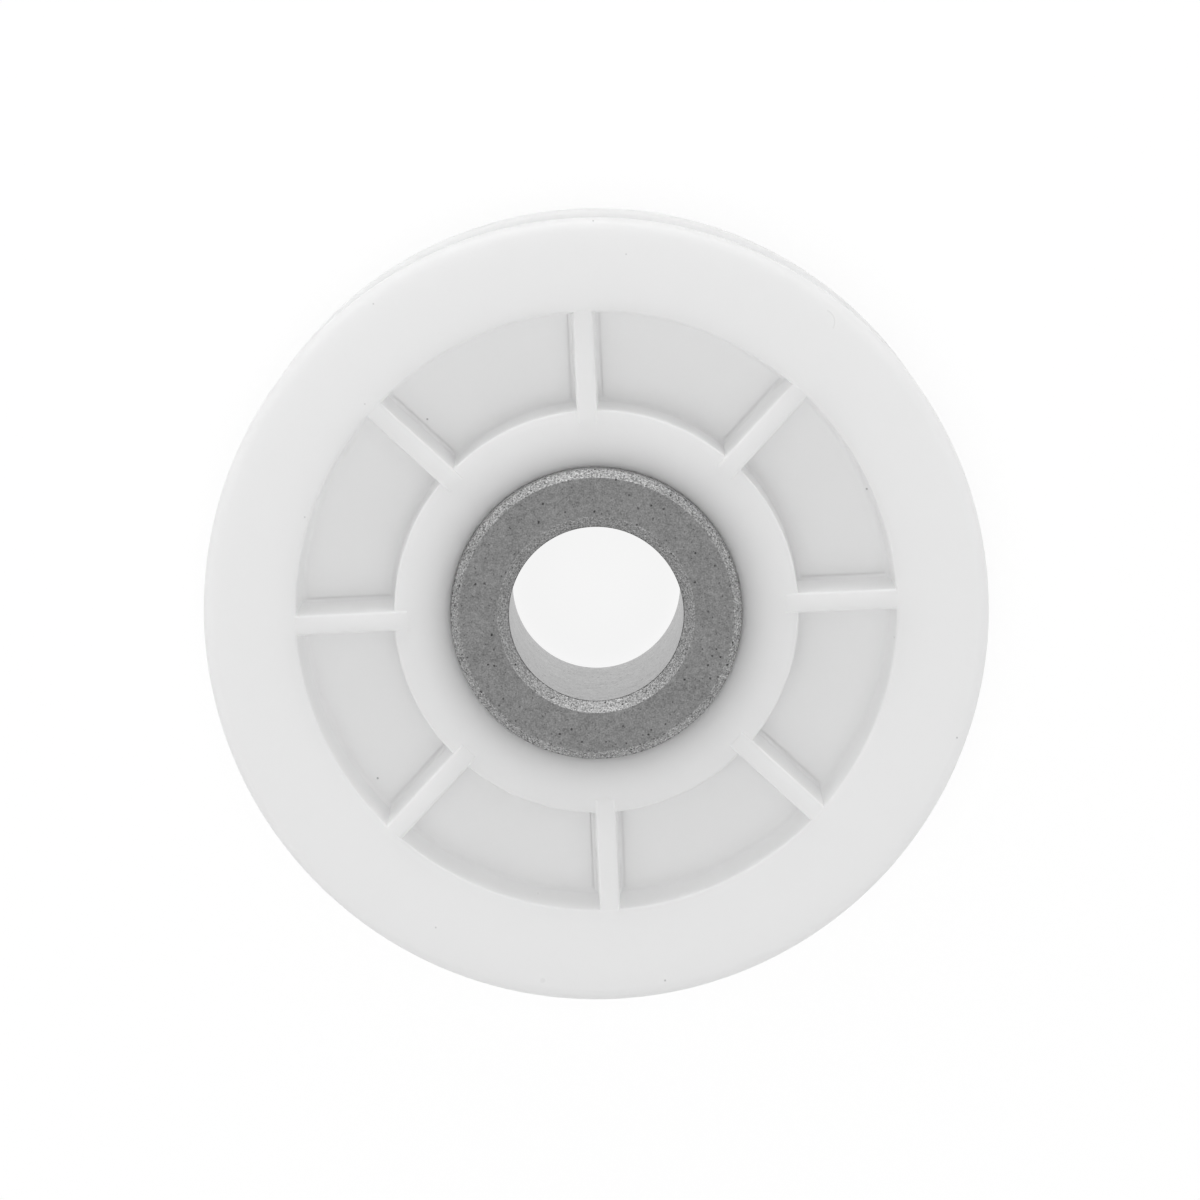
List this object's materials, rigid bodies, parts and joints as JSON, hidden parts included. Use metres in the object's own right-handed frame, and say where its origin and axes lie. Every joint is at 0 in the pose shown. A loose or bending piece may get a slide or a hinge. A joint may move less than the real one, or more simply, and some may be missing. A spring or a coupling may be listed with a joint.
{
  "type": "idler pulley",
  "caption": "Moulded plastic idler pulley with a flanged groove for a flat belt, cored pockets between radial ribs on both faces and a plain metal bush in its hub.",
  "frame": {"origin": "centre of the bush's lower end face, on which the pulley lies", "axes": "+Z along the pulley's axis, out of the face that the picture shows; +X is that face's right and +Y its top in the picture"},
  "size_m": [0.0716, 0.0716, 0.0286],
  "materials": {
    "white_plastic": "natural white acetal, smooth and slightly translucent, with a satin sheen",
    "sintered_metal": "sintered powder metal, dull grey and finely pored, brighter on the chamfers"
  },
  "bodies": {
    "root": {"pulley_wheel": "white_plastic", "bearing_bush": "sintered_metal"}
  },
  "joints": []
}
